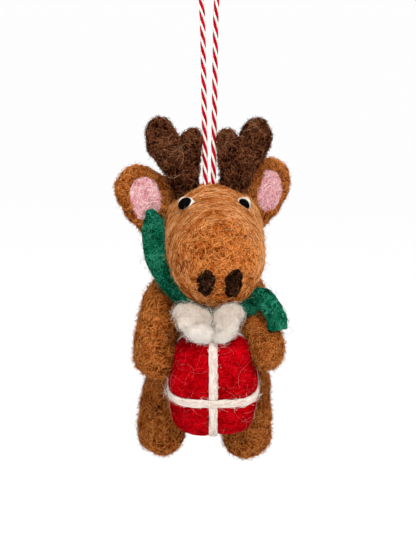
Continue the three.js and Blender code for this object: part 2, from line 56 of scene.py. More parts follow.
# %% Camera
picture_height = 555
mm_per_pixel = 0.3545
camera_distance = 1.0
camera_elevation = math.radians(4)
sensor_width = 36
aim = Vector((0.0, 0.0, -110.7 * MM))

camera_data = bpy.data.cameras.new("camera")
camera_data.sensor_width = sensor_width
camera_data.lens = sensor_width * camera_distance / (picture_height * mm_per_pixel * MM)
camera_data.clip_start = 0.02
camera = bpy.data.objects.new("camera", camera_data)
bpy.context.scene.collection.objects.link(camera)
towards_camera = Vector((0, -math.cos(camera_elevation), math.sin(camera_elevation)))
camera.location = aim + towards_camera * camera_distance
camera.rotation_euler = (math.pi / 2 - camera_elevation, 0, 0)
bpy.context.scene.camera = camera
print("lens, mm:", round(camera_data.lens, 1))

# %% [markdown]
# ## Helpers for meshes
# Felt needs many small shapes, so points are read, moved and written as whole
# arrays, which is many times faster than one point at a time. Every random
# choice comes from a generator with a fixed seed, so each run gives the same
# ornament.

# %% Objects and arrays of points
tiny = 1e-12  # keeps a vector without length from dividing by zero


def new_object(name, mesh):
    thing = bpy.data.objects.new(name, mesh)
    bpy.context.scene.collection.objects.link(thing)
    return thing


def unit(vectors):
    """The same vectors, each with a length of 1."""
    return vectors / np.maximum(np.linalg.norm(vectors, axis=-1, keepdims=True), tiny)


def arrays_of(mesh):
    """The points and the normals of a mesh, one row each."""
    points = np.empty(len(mesh.vertices) * 3)
    mesh.vertices.foreach_get("co", points)
    normals = np.empty(len(mesh.vertices) * 3)
    mesh.vertex_normals.foreach_get("vector", normals)
    return points.reshape(-1, 3), normals.reshape(-1, 3)


def move_points(mesh, points):
    mesh.vertices.foreach_set("co", points.ravel())
    mesh.update()


def place(piece, body, slot, *nodes):
    """The piece rides on its body and stands for its nodes. The slot is not used."""
    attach(piece, body)
    if nodes:
        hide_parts(*nodes)


print("unit of (3, 0, 4):", unit(np.array([3.0, 0.0, 4.0])))

# %% [markdown]
# ## Tubes and fibres
# Roving, twine plies and single stray fibres are all tubes along a line. A curve
# object with a bevel would do for a few. For tens of thousands, two functions
# lay rings of points along many lines at once. A tone for each fibre is stored
# on its points, so that one material can colour each fibre differently.

# %% Rings of points along lines
no_fibre_way = [0.31, 0.52, 0.79]  # a direction that no line starts in


def rings_round(lines, radii, sides):
    """Rings round each line, which turn with the line but don't twist."""
    tangents = unit(np.gradient(lines, axis=1))
    current = np.cross(tangents[:, 0], no_fibre_way)
    side = np.zeros_like(lines)
    for k in range(lines.shape[1]):
        across = current - tangents[:, k] * np.sum(current * tangents[:, k], axis=1, keepdims=True)
        current = unit(across)
        side[:, k] = current
    other = np.cross(tangents, side)
    turns = np.arange(sides) * 2 * math.pi / sides
    ring = (
        np.cos(turns)[None, None, :, None] * side[:, :, None, :]
        + np.sin(turns)[None, None, :, None] * other[:, :, None, :]
    )
    return lines[:, :, None, :] + ring * radii[:, :, None, None]


def tube_faces(count, steps, sides):
    """The faces' corners and sizes: four corners in each wall, then both ends."""
    index = np.arange(count * steps * sides).reshape(count, steps, sides)
    following = np.roll(index, -1, axis=2)
    walls = np.stack(
        [index[:, :-1], following[:, :-1], following[:, 1:], index[:, 1:]], axis=-1
    ).reshape(-1, 4)
    first = index[:, 0, ::-1].reshape(-1, sides)
    last = index[:, -1, :].reshape(-1, sides)
    corners = np.concatenate([walls.ravel(), first.ravel(), last.ravel()])
    sizes = np.concatenate([np.full(len(walls), 4), np.full(2 * count, sides)])
    return corners, sizes


print("faces of a fibre with 7 rings:", len(tube_faces(1, 7, 3)[1]))


# %% Tubes along lines
def tubes(name, lines, radii, sides=3, tones=None):
    """One mesh of all tubes. lines: fibres x points x 3, radii: fibres x points."""
    count, steps, _ = lines.shape
    points = rings_round(lines, radii, sides)
    corners, sizes = tube_faces(count, steps, sides)
    starts = np.concatenate([[0], np.cumsum(sizes)[:-1]])
    mesh = bpy.data.meshes.new(name)
    mesh.vertices.add(points.size // 3)
    mesh.vertices.foreach_set("co", points.ravel())
    mesh.loops.add(len(corners))
    mesh.loops.foreach_set("vertex_index", corners.astype(np.int32))
    mesh.polygons.add(len(sizes))
    mesh.polygons.foreach_set("loop_start", starts.astype(np.int32))
    mesh.polygons.foreach_set("use_smooth", np.ones(len(sizes), bool))
    mesh.update(calc_edges=True)
    if tones is not None:
        layer = mesh.attributes.new("tone", "FLOAT", "POINT")
        layer.data.foreach_set("value", np.repeat(tones, steps * sides).astype(np.float32))
    return mesh


# %% [markdown]
# ## Twine
# Baker's twine has four plies, two red and two off-white in turn, laid up to the
# left, so red bands run down to the right. Its route is the one of the solid:
# up from the head, round the hook and down again. Each ply is a tube that winds
# round that route, which gives the real grooves between the plies, and a
# striped texture on one tube wouldn't.

# %% Twine route
twine_route = [
    (-0.92, -77), (-1.02, -70), (-1.18, -60), (-1.35, -50), (-1.52, -40),
    (-1.7, -30), (-1.95, -20), (-2.35, -13), (-3.2, -8), (-3.95, -4.5),
    (-4.0, -2.2), (-3.2, -0.4), (-1.7, 0.7), (0, 1), (1.7, 0.7), (3.2, -0.4),
    (4.05, -2.2), (4.15, -4.5), (3.6, -8), (3.05, -13), (2.75, -20),
    (2.6, -30), (2.45, -40), (2.3, -50), (2.13, -60), (1.98, -70), (1.92, -77),
]
twine_diameter = 2 * MM
twine_into_head = 0.9 * MM
twine_step = 0.4 * MM
cuts_per_span = 12


def between(a, b, start, end, u):
    """From a, where u is start, to b, where u is end."""
    return (end - u) / (end - start) * a + (u - start) / (end - start) * b


def smooth_route(points, step):
    """A centripetal Catmull-Rom curve through the points, cut to even steps."""
    p = np.asarray(points, float)
    p = np.vstack([2 * p[0] - p[1], p, 2 * p[-1] - p[-2]])
    out = []
    for a, b, c, d in zip(p[:-3], p[1:-2], p[2:-1], p[3:]):
        t = np.cumsum([0] + [np.linalg.norm(v) ** 0.5 for v in (b - a, c - b, d - c)])
        for u in np.linspace(t[1], t[2], cuts_per_span, endpoint=False):
            ab, bc = between(a, b, t[0], t[1], u), between(b, c, t[1], t[2], u)
            cd = between(c, d, t[2], t[3], u)
            abc, bcd = between(ab, bc, t[0], t[2], u), between(bc, cd, t[1], t[3], u)
            out.append(between(abc, bcd, t[1], t[2], u))
    out.append(p[-2])
    out = np.array(out)
    run = np.concatenate([[0], np.cumsum(np.linalg.norm(np.diff(out, axis=0), axis=1))])
    even = np.linspace(0, run[-1], max(int(round(run[-1] / step)), 2) + 1)
    return np.stack([np.interp(even, run, out[:, k]) for k in range(3)], axis=1), run[-1]


route_points = [Vector((x * MM, 0, z * MM)) for x, z in twine_route]
for end, inner in ((0, 1), (-1, -2)):
    outwards = (route_points[end] - route_points[inner]).normalized()
    route_points[end] = route_points[end] + outwards * twine_into_head
twine_line, twine_length = smooth_route(route_points, twine_step)
print("twine length, mm:", round(twine_length / MM, 1))

# %% Twine plies
twine_pitch = 11.0 * MM  # along the twine for one turn of a ply
ply_radii = [0.56 * MM, 0.42 * MM, 0.56 * MM, 0.42 * MM]  # red, off-white and so on
ply_sides = 8
cut_end_share = 0.6  # a ply is thinner where it is cut

twine_tangents = unit(np.gradient(twine_line, axis=0))
twine_depth = np.array([0.0, 1.0, 0.0])
twine_across = np.cross(twine_depth, twine_tangents)
twine_run = np.linspace(0, twine_length, len(twine_line))
ply_meshes = []
for ply, ply_radius in enumerate(ply_radii):
    ply_offset = twine_diameter / 2 - ply_radius
    turn = ply * math.pi / 2 - 2 * math.pi * twine_run / twine_pitch
    centre = twine_line + ply_offset * (
        np.cos(turn)[:, None] * twine_across + np.sin(turn)[:, None] * twine_depth
    )
    radii = np.full(len(centre), ply_radius)
    radii[[0, -1]] *= cut_end_share
    ply_meshes.append(tubes(f"ply_{ply}", centre[None], radii[None], sides=ply_sides))
print("twine points:", len(twine_line))

# %% [markdown]
# ## Node groups for wool
# Three effects make wool look like wool. Curls are thin bent lines where single
# fibres cross. Windings are long streaks round a form, left by wool that was
# wound on. Mottling is the uneven dye and density over a few millimetres. Each
# is a group with named values, so every wool can use it with values of its own.

# %% Colours and links
def colour(code):
    """A hex colour as it shows on a screen, in Blender's linear numbers."""
    parts = [int(code[i : i + 2], 16) / 255 for i in (0, 2, 4)]
    return tuple(c / 12.92 if c <= 0.04045 else ((c + 0.055) / 1.055) ** 2.4 for c in parts) + (1,)


def set_values(node, **values):
    for name, value in values.items():
        node.inputs[name.replace("_", " ")].default_value = value
    return node


def join(tree, *pairs):
    for source, target in pairs:
        tree.links.new(source, target)


def feed(tree, target, value):
    """A link where the value is another node's output, and a plain value elsewhere."""
    if isinstance(value, bpy.types.NodeSocket):
        tree.links.new(value, target)
    else:
        target.default_value = value


print("screen grey 808080 is", round(colour("808080")[0], 3), "of the light")


# %% Nodes that work things out
def math_node(tree, operation, *values):
    node = tree.nodes.new("ShaderNodeMath")
    node.operation = operation
    for target, value in zip(node.inputs, values):
        feed(tree, target, value)
    return node.outputs[0]


def vector_node(tree, operation, *values):
    node = tree.nodes.new("ShaderNodeVectorMath")
    node.operation = operation
    targets = (node.inputs[0], node.inputs["Scale"]) if operation == "SCALE" else node.inputs
    for target, value in zip(targets, values):
        feed(tree, target, value)
    return node.outputs["Value" if operation == "LENGTH" else "Vector"]


def noise_node(tree, vector, scale, detail=2.0, roughness=0.5, w=None, output="Fac"):
    """Noise in space, or in four dimensions where w is given."""
    node = tree.nodes.new("ShaderNodeTexNoise")
    set_values(node, Detail=detail, Roughness=roughness)
    feed(tree, node.inputs["Scale"], scale)
    feed(tree, node.inputs["Vector"], vector)
    if w is not None:
        node.noise_dimensions = "4D"
        feed(tree, node.inputs["W"], w)
    return node.outputs[output]


# %% Vectors, blends and groups
def split_vector(tree, vector):
    node = tree.nodes.new("ShaderNodeSeparateXYZ")
    tree.links.new(vector, node.inputs[0])
    return node.outputs


def make_vector(tree, **parts):
    node = tree.nodes.new("ShaderNodeCombineXYZ")
    for name, value in parts.items():
        tree.links.new(value, node.inputs[name])
    return node.outputs[0]


def blended(tree, main, other, main_share=0.6):
    """Two heights as one, of which the main one has the larger share."""
    main = math_node(tree, "MULTIPLY", main, main_share)
    other = math_node(tree, "MULTIPLY", other, 1 - main_share)
    return math_node(tree, "ADD", main, other)


def new_group(name, inputs, outputs):
    """An empty group. Inputs are rows of label, kind (v or f) and starting value."""
    tree = bpy.data.node_groups.new(name, "ShaderNodeTree")
    kinds = {"v": "NodeSocketVector", "f": "NodeSocketFloat"}
    for label, kind, value in inputs:
        socket = tree.interface.new_socket(label, in_out="INPUT", socket_type=kinds[kind])
        if value is not None:
            socket.default_value = value
    for label in outputs:
        tree.interface.new_socket(label, in_out="OUTPUT", socket_type="NodeSocketFloat")
    return tree, tree.nodes.new("NodeGroupInput").outputs, tree.nodes.new("NodeGroupOutput").inputs


# %% Curls: thin bent lines where fibres cross
curl_layers = (((0, 0, 0), 0.55), ((7.3, 1.9, 4.1), 0.8), ((2.2, 9.4, 6.7), 1.15))  # shift, scale
curl_thinness = 13.0
bend_scale = 0.6
fine_scale = 2.4


def make_curls():
    tree, given, result = new_group(
        "wool_curls",
        [("Position", "v", None), ("Fibres per Metre", "f", 600.0), ("Bend", "f", 1.2)],
        ["Curls", "Relief"],
    )
    scaled = vector_node(tree, "SCALE", given["Position"], given["Fibres per Metre"])
    drift = noise_node(tree, scaled, bend_scale, detail=1.0, output="Color")
    centred = vector_node(tree, "SUBTRACT", drift, (0.5, 0.5, 0.5))
    bent = vector_node(tree, "ADD", scaled, vector_node(tree, "SCALE", centred, given["Bend"]))
    lines = 0.0
    for shift, scale in curl_layers:
        height = noise_node(tree, vector_node(tree, "ADD", bent, shift), scale, detail=0.0)
        away = math_node(tree, "ABSOLUTE", math_node(tree, "SUBTRACT", height, 0.5))
        line = math_node(tree, "SUBTRACT", 1.0, math_node(tree, "MULTIPLY", away, curl_thinness))
        lines = math_node(tree, "MAXIMUM", lines, line)
    relief = blended(tree, lines, noise_node(tree, scaled, fine_scale))
    join(tree, (lines, result["Curls"]), (relief, result["Relief"]))
    return tree


wool_curls = make_curls()
print("curls group:", len(wool_curls.nodes), "nodes")

# %% Windings: long streaks round an axis
waver_scale = 130.0  # waves per metre
waver_height = 8.0  # in streaks, where Waver is 1
streak_detail, streak_roughness = 3.0, 0.62
coarse_scale = 0.45


def make_windings():
    tree, given, result = new_group(
        "wool_windings",
        [
            ("Position", "v", None),
            ("Centre", "v", None),
            ("Axis Turn", "v", None),
            ("Across per Metre", "f", 900.0),
            ("Around", "f", 2.2),
            ("Waver", "f", 0.9),
        ],
        ["Relief"],
    )
    local = vector_node(tree, "SUBTRACT", given["Position"], given["Centre"])
    rotate = tree.nodes.new("ShaderNodeVectorRotate")
    rotate.rotation_type = "EULER_XYZ"
    rotate.invert = True
    join(tree, (local, rotate.inputs["Vector"]), (given["Axis Turn"], rotate.inputs["Rotation"]))
    turned = rotate.outputs[0]
    drift = math_node(tree, "SUBTRACT", noise_node(tree, turned, waver_scale), 0.5)
    drift = math_node(tree, "MULTIPLY", drift, given["Waver"])
    drift = math_node(tree, "MULTIPLY", drift, waver_height)
    part = split_vector(tree, turned)
    flat = make_vector(tree, X=part["X"], Y=part["Y"])
    around = vector_node(tree, "SCALE", vector_node(tree, "NORMALIZE", flat), given["Around"])
    around = split_vector(tree, around)
    along = math_node(tree, "MULTIPLY", part["Z"], given["Across per Metre"])
    radius = math_node(tree, "MULTIPLY", vector_node(tree, "LENGTH", flat), given["Across per Metre"])
    wound = make_vector(
        tree,
        X=math_node(tree, "ADD", along, drift),
        Y=math_node(tree, "ADD", radius, drift),
        Z=around["X"],
    )
    streaks = noise_node(tree, wound, 1.0, streak_detail, streak_roughness, w=around["Y"])
    coarse = noise_node(tree, wound, coarse_scale, 1.0, w=around["Y"])
    join(tree, (blended(tree, streaks, coarse), result["Relief"]))
    return tree


wool_windings = make_windings()
print("windings group:", len(wool_windings.nodes), "nodes")

# %% Mottling: uneven dye and density
fleck_threshold = 0.66  # only the peaks of the noise are flecks
fleck_sharpness = 9.0


def make_mottling():
    tree, given, result = new_group(
        "wool_mottling",
        [("Position", "v", None), ("Patches per Metre", "f", 180.0), ("Flecks per Metre", "f", 500.0)],
        ["Patches", "Flecks"],
    )
    patches = noise_node(tree, given["Position"], given["Patches per Metre"], detail=3.0)
    specks = noise_node(tree, given["Position"], given["Flecks per Metre"], detail=1.0)
    flecks = math_node(tree, "SUBTRACT", specks, fleck_threshold)
    flecks = math_node(tree, "MULTIPLY", flecks, fleck_sharpness)
    flecks = math_node(tree, "MINIMUM", math_node(tree, "MAXIMUM", flecks, 0.0), 1.0)
    join(tree, (patches, result["Patches"]), (flecks, result["Flecks"]))
    return tree


wool_mottling = make_mottling()
print("mottling group:", len(wool_mottling.nodes), "nodes")

# %% [markdown]
# ## Wool materials
# Wool is matt: light that enters it is lost among the fibres, so it gets high
# roughness and, at most, a faint sheen. The colour ramps run from the shade
# between fibres to the lightest fibres. The same relief drives the bump, so
# what is dark also lies lower. An image of felt would be quicker, but would
# stretch over the round forms, and couldn't change its scale with the piece.

# %% Parts of a material
def new_material(name):
    """A material, its tree, its shader, and the place on the piece as an output."""
    material = bpy.data.materials.new(name)
    material.use_nodes = True
    tree = material.node_tree
    position = tree.nodes.new("ShaderNodeTexCoord").outputs["Object"]
    return material, tree, tree.nodes["Principled BSDF"], position


def add_group(tree, group, position, **values):
    node = tree.nodes.new("ShaderNodeGroup")
    node.node_tree = group
    tree.links.new(position, node.inputs["Position"])
    return set_values(node, **values).outputs


def ramped(tree, amount, *stops):
    """The colour for an amount. Each stop is a place from 0 to 1 and a hex colour."""
    node = tree.nodes.new("ShaderNodeValToRGB")
    elements = node.color_ramp.elements
    for element, (place_on_ramp, code) in zip(elements, (stops[0], stops[-1])):
        element.position, element.color = place_on_ramp, colour(code)
    for place_on_ramp, code in stops[1:-1]:
        elements.new(place_on_ramp).color = colour(code)
    join(tree, (amount, node.inputs["Fac"]))
    return node.outputs["Color"]


def flecked(tree, painted, flecks, share, code):
    """The painted colour, with specks of another wool over it."""
    mix = tree.nodes.new("ShaderNodeMix")
    mix.data_type = "RGBA"
    factor, first, second, result = mix.inputs[0], mix.inputs[6], mix.inputs[7], mix.outputs[2]
    join(tree, (math_node(tree, "MULTIPLY", flecks, share), factor), (painted, first))
    second.default_value = colour(code)
    return result


def add_bump(tree, shader, height, strength, depth):
    """Lets a height tilt the light. The depth is in millimetres."""
    bump = tree.nodes.new("ShaderNodeBump")
    set_values(bump, Strength=strength, Distance=depth * MM)
    join(tree, (height, bump.inputs["Height"]), (bump.outputs["Normal"], shader.inputs["Normal"]))


# %% Felted wool
curl_mean, noise_mean = 0.35, 0.5  # what the effects give on average
tone_contrast = 2.2
ramp_margin = 0.05


def wool(
    name, dark, middle, light, fibres=620, patches=180, relief=0.22, curls=0.5, streaks=0.0,
    patch_share=0.5, flecks=0.0, fleck_colour=None, winding=None, sheen=0.0,
):
    """Felt with curls and patches, and streaks where it was wound. relief is in millimetres."""
    material, tree, shader, position = new_material(name)
    set_values(
        shader, Roughness=0.95, Specular_IOR_Level=0.0, Sheen_Weight=sheen, Sheen_Roughness=0.5,
        Sheen_Tint=colour(light),
    )
    curl = add_group(tree, wool_curls, position, Fibres_per_Metre=fibres)
    mottle = add_group(tree, wool_mottling, position, Patches_per_Metre=patches)
    height = math_node(tree, "MULTIPLY", curl["Relief"], curls)
    mean = curls * curl_mean + patch_share * noise_mean
    if winding:
        wound = add_group(tree, wool_windings, position, **winding)
        height = math_node(tree, "ADD", height, math_node(tree, "MULTIPLY", wound["Relief"], streaks))
        mean += streaks * noise_mean
    tone = math_node(tree, "ADD", height, math_node(tree, "MULTIPLY", mottle["Patches"], patch_share))
    tone = math_node(tree, "MULTIPLY", math_node(tree, "SUBTRACT", tone, mean), tone_contrast)
    tone = math_node(tree, "ADD", tone, 0.5)
    painted = ramped(tree, tone, (ramp_margin, dark), (0.5, middle), (1 - ramp_margin, light))
    if flecks:
        painted = flecked(tree, painted, mottle["Flecks"], flecks, fleck_colour)
    join(tree, (painted, shader.inputs["Base Color"]))
    add_bump(tree, shader, height, strength=0.9, depth=relief)
    return material


# %% Loose wool
def fibre_material(name, dark, middle, light, patches=150, patch_share=0.5, flecks=0.0, fleck_colour=None):
    """Loose fibres: each has its own tone, and patches of the wool differ too."""
    material, tree, shader, position = new_material(name)
    set_values(shader, Roughness=0.9, Specular_IOR_Level=0.0)
    mottle = add_group(tree, wool_mottling, position, Patches_per_Metre=patches)
    tone = tree.nodes.new("ShaderNodeAttribute")
    tone.attribute_name = "tone"
    patch = math_node(tree, "SUBTRACT", mottle["Patches"], noise_mean)
    patch = math_node(tree, "MULTIPLY", patch, patch_share * 2)
    shade = math_node(tree, "ADD", tone.outputs["Fac"], patch)
    painted = ramped(tree, shade, (0, dark), (0.5, middle), (1, light))
    if flecks:
        painted = flecked(tree, painted, mottle["Flecks"], flecks, fleck_colour)
    join(tree, (painted, shader.inputs["Base Color"]))
    return material


# %% The head's axis
# The head tips forward and turns a little, and its wool is wound round this axis.
head_pitch, head_yaw = math.radians(19.6), math.radians(4.2)
head_turn = Matrix.Rotation(head_yaw, 3, "Z") @ Matrix.Rotation(head_pitch, 3, "X")
head_axis = head_turn @ Vector((0, -1, 0))
cranium = Vector((1.7, 5.0, -95.2)) * MM
head_winding = dict(
    Centre=tuple(cranium), Axis_Turn=(math.radians(90) + head_pitch, 0.0, head_yaw),
    Across_per_Metre=950.0, Around=2.6, Waver=0.8,
)
print("head axis:", [round(c, 2) for c in head_axis])

# %% Wool colours
# Most skins, such as the body's, ears' and antlers', are darker than their loose fibres: partly the wool's
# own colour, partly painted shade in the gaps between the fibres.
head_wool = wool(
    "wool_head", "4a1e06", "85400c", "b06424", fibres=560, patches=150, curls=0.35, streaks=1.0,
    patch_share=0.35, winding=head_winding, relief=0.4, flecks=0.75, fleck_colour="2e1204",
)
body_wool = wool(
    "wool_body", "260f03", "56280a", "804517", fibres=520, patches=140, curls=0.9,
    patch_share=0.7, relief=0.45, flecks=0.6, fleck_colour="1c0b03",
)
ear_wool = wool(
    "wool_ear", "220b02", "4e1f05", "743a0d", fibres=560, patches=170, curls=1.0,
    relief=0.45, flecks=0.7, fleck_colour="2a1104",
)
antler_wool = wool(
    "wool_antler", "080301", "1a0b06", "2e170d", fibres=480, patches=170, curls=1.0,
    patch_share=0.6, relief=0.5,
)
pink_wool = wool(
    "wool_pink", "ae6069", "cf868e", "e2a8ad", fibres=640, patches=200, curls=0.8, relief=0.3,
)
gift_wool = wool(
    "wool_gift", "740002", "a60107", "ba0310", fibres=700, patches=160, curls=0.4, relief=0.16,
)
cream_wool = wool(
    "wool_cream", "a18d78", "d0c1b1", "e4dacd", fibres=420, patches=120, relief=0.3, sheen=0.05,
)
# The bow is of the same cream wool as the ribbons, made lighter here as painted light, since it lies in the
# muzzle's shadow.
lit_bow_wool = wool(
    "wool_bow", "e0d1bf", "f8ecdf", "fff8ef", fibres=420, patches=120, patch_share=0.4, relief=0.3,
)
nostril_wool = wool(
    "wool_nostril", "060302", "150a05", "2a170e", fibres=520, patches=200, curls=1.0, relief=0.4,
)
scarf_felt = wool(
    "felt_scarf", "011a0f", "044a32", "127052", patches=200, curls=0.7, patch_share=0.7, relief=0.25,
)
ply_red = wool("ply_red", "6a000c", "9c0316", "b40c20", fibres=1100, patches=400, relief=0.1)
ply_white = wool("ply_white", "c4b6a8", "ded4ca", "eae3db", fibres=1100, patches=400, relief=0.1)
print("materials:", len(bpy.data.materials))

# %% [markdown]
# ## Black for the eyes
# The eyes are black wool too, but stabbed so long that they are nearly smooth.
# So they shine a little, less where a fibre crosses. Plain black beads would
# show sharp highlights, which these don't.

# %% Eye material
eye_roughness = 0.35
curl_roughness = 0.25  # more, where a curl crosses


def eye_finish():
    material, tree, shader, position = new_material("eye_black")
    set_values(shader, Specular_IOR_Level=0.012)
    curl = add_group(tree, wool_curls, position, Fibres_per_Metre=900.0)
    rough = math_node(tree, "MULTIPLY", curl["Curls"], curl_roughness)
    rough = math_node(tree, "ADD", rough, eye_roughness)
    painted = ramped(tree, curl["Curls"], (0, "010101"), (1, "0b0a0a"))
    join(tree, (painted, shader.inputs["Base Color"]), (rough, shader.inputs["Roughness"]))
    add_bump(tree, shader, curl["Relief"], strength=0.4, depth=0.05)
    return material


eye_black = eye_finish()
print("eye material:", len(eye_black.node_tree.nodes), "nodes")

# %% [markdown]
# ## Dress the twine
# The plies are joined in one mesh, so that it is one cord, with red and
# off-white as its two materials.

# %% Twine as a cord
def joined(name, meshes, materials, choice):
    """Several meshes in one, each with the material of its choice."""
    shape = bmesh.new()
    for mesh, pick in zip(meshes, choice):
        before = len(shape.faces)
        shape.from_mesh(mesh)
        shape.faces.ensure_lookup_table()
        for face in shape.faces[before:]:
            face.material_index = pick
    mesh = bpy.data.meshes.new(name)
    shape.to_mesh(mesh)
    shape.free()
    for material in materials:
        mesh.materials.append(material)
    return mesh


twine = new_object("twine", joined("twine", ply_meshes, [ply_red, ply_white], [0, 1, 0, 1]))
place(twine, "hanger", "twine", "twine_loop")
print("twine faces:", len(twine.data.polygons))

# %% [markdown]
# ## Felted forms
# A felted form is stuffed and stabbed, so it has no facets, no sharp edge and
# a slightly uneven skin. Each one starts from its solid: a voxel remesh melts
# the facets away, smoothing rounds what is left, and noise along the normals
# adds the lumps. Modelling each by hand would drift from the solids.

# %% Skin of a solid
same_point = 1e-6


def wrap_in_hull(mesh):
    """Only the mesh's outermost shape, with every dent bridged."""
    shape = bmesh.new()
    shape.from_mesh(mesh)
    bmesh.ops.remove_doubles(shape, verts=shape.verts, dist=same_point)
    kept = bmesh.ops.convex_hull(shape, input=shape.verts)
    loose = [v for v in kept["geom_interior"] if isinstance(v, bmesh.types.BMVert)]
    bmesh.ops.delete(shape, geom=loose, context="VERTS")
    shape.to_mesh(mesh)
    shape.free()


def skin_from(node, voxel, rounds, hull=False):
    """The solid's mesh, remeshed and smoothed, as a new mesh. The voxel is in millimetres."""
    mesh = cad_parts[node].data.copy()
    if hull:
        wrap_in_hull(mesh)
    helper = new_object("helper", mesh)
    remesh = helper.modifiers.new("remesh", "REMESH")
    remesh.mode = "VOXEL"
    remesh.voxel_size = voxel * MM
    smooth = helper.modifiers.new("smooth", "SMOOTH")
    smooth.factor = 0.5
    smooth.iterations = rounds
    ready = helper.evaluated_get(bpy.context.evaluated_depsgraph_get())
    result = bpy.data.meshes.new_from_object(ready)
    bpy.data.objects.remove(helper)
    result.polygons.foreach_set("use_smooth", [True] * len(result.polygons))
    return result


# %% Lumps and small moves
seed_step = (3.7, 1.3, 2.1)  # how far the noise moves on from one seed to the next
print("noise moves on by", seed_step, "for each piece")


def lump(mesh, layers, grow, seed):
    """Pushes the skin in and out: layers are (size, height) in millimetres."""
    points, normals = arrays_of(mesh)
    shift = np.full(len(points), grow * MM)
    offset = Vector([seed * step for step in seed_step])
    for size, height in layers:
        waves = [noise.noise(Vector(p) / (size * MM) + offset) for p in points]
        shift += np.array(waves) * height * MM
    points += normals * shift[:, None]
    move_points(mesh, points)


def lengthen(mesh, tilt, factor):
    """Makes a form longer along a line that tilts so many degrees in the front view."""
    points, _ = arrays_of(mesh)
    line = np.array((math.cos(math.radians(tilt)), 0, math.sin(math.radians(tilt))))
    reach = (points - points.mean(axis=0)) @ line
    points += (factor - 1) * reach[:, None] * line
    move_points(mesh, points)


def draw_in(mesh, middle, start, depth, share):
    """Draws what hangs lower than start towards the middle, as a knot does."""
    points, _ = arrays_of(mesh)
    below = np.clip((start * MM - points[:, 2]) / (depth * MM), 0, 1)
    points[:, 0] += (middle * MM - points[:, 0]) * below * share
    move_points(mesh, points)


# %% [markdown]
# ## Creases of the bow
# Each side of the bow is one piece with a low loop and a higher one behind it.
# What shows them as two is the shaded crease between them. It is pressed into
# the mesh along a line, and its fibres get painted shade later.

# %% Creases
crease_width = 1.1  # mm
crease_depth = 1.5  # mm
bow_creases = {  # from and to, x and z in millimetres
    "bow_right": ((-8.5, -126.6), (-1.4, -124.6)),
    "bow_left": ((1.4, -128.4), (8.5, -125.1)),
}


def beside_line(points, start, end):
    """How near points are to a line of the front view: 1 on it, 0 a few millimetres off."""
    start, end = np.array(start), np.array(end)
    flat = points[:, [0, 2]] / MM - start
    line = (end - start) / np.linalg.norm(end - start)
    off = flat @ np.array((-line[1], line[0]))
    return np.exp(-((off / crease_width) ** 2))


def facing_front(normals):
    """1 on skin that looks to the front, falling to 0 on skin that looks sideways."""
    return np.clip(-normals[:, 1] * 2, 0, 1)


def crease(mesh, start, end):
    """Presses a groove into the front of a form along a line of the front view."""
    points, normals = arrays_of(mesh)
    pressed = beside_line(points, start, end) * facing_front(normals)
    points -= normals * (pressed * crease_depth * MM)[:, None]
    move_points(mesh, points)


print("creases:", sorted(bow_creases))

# %% Felt a form
felted = {}
slots = {}


def both_sides(*rows):
    """Each row for the right piece, then each for the left one."""
    return [(f"{node}_{side}", *rest) for side in ("right", "left") for node, *rest in rows]


def felt_form(
    node, slot, material, voxel=0.5, rounds=14, layers=((6, 0.5), (1.6, 0.22)), grow=0.1,
    hull=False, stretch=(), shift=(0, 0, 0), gather=None,
):
    """Dresses a node in felt. Its place in the order is the seed of its lumps."""
    mesh = skin_from(node, voxel, rounds, hull)
    lump(mesh, layers, grow, seed=max(len(felted), 1))
    for tilt, factor in stretch:
        lengthen(mesh, tilt, factor)
    mesh.transform(Matrix.Translation(Vector(shift) * MM))
    if gather:
        draw_in(mesh, **gather)
    if node in bow_creases:
        crease(mesh, *bow_creases[node])
    mesh.materials.clear()
    mesh.materials.append(material)
    mesh.name = f"felt_{node}"
    piece = new_object(f"felt_{node}", mesh)
    place(piece, "figure", slot, node)
    felted[node], slots[node] = piece, slot
    print(node, "faces:", len(mesh.polygons))


# %% Felt the padded pieces
limb_felt = dict(rounds=24, layers=((7, 0.9), (2, 0.3)))
ear_felt = dict(voxel=0.35, rounds=12, layers=((5, 0.5), (1.4, 0.3)))
antler_felt = dict(voxel=0.35, layers=((4, 0.6), (1.3, 0.35)), grow=0.15)
bow_roving = dict(
    voxel=0.25, rounds=4, layers=((3, 0.5), (1.0, 0.2)), grow=-0.2,
    gather=dict(middle=1.9, start=-121.5, depth=6, share=0.24),
)
padded = [
    ("head", "head_wool", head_wool, dict(rounds=30, hull=True, layers=((9, 0.45), (2.2, 0.16)))),
    ("torso", "body_wool", body_wool, dict(voxel=0.6, rounds=20)),
    *both_sides(("arm", "body_wool", body_wool, limb_felt)),
    *both_sides(("leg", "body_wool", body_wool, limb_felt)),
    ("gift_box", "gift_wool", gift_wool, dict(rounds=26, layers=((9, 0.5), (2, 0.1)))),
    *both_sides(("ear", "head_wool", ear_wool, ear_felt)),
    *both_sides(("antler", "antler_wool", antler_wool, antler_felt)),
    *both_sides(("bow", "cream_wool", lit_bow_wool, bow_roving)),
]
for node, slot, material, how in padded:
    felt_form(node, slot, material, **how)

# %% [markdown]
# ## Small felt pieces
# Ear linings, nostrils, eyes and their cream surrounds are pinches of wool laid
# on a larger form and stabbed down, so they follow its skin. The solids of
# these already do, and a finer remesh keeps their thin edges. The eyes and
# nostrils are then moved by about a millimetre, to look as the real ones do.

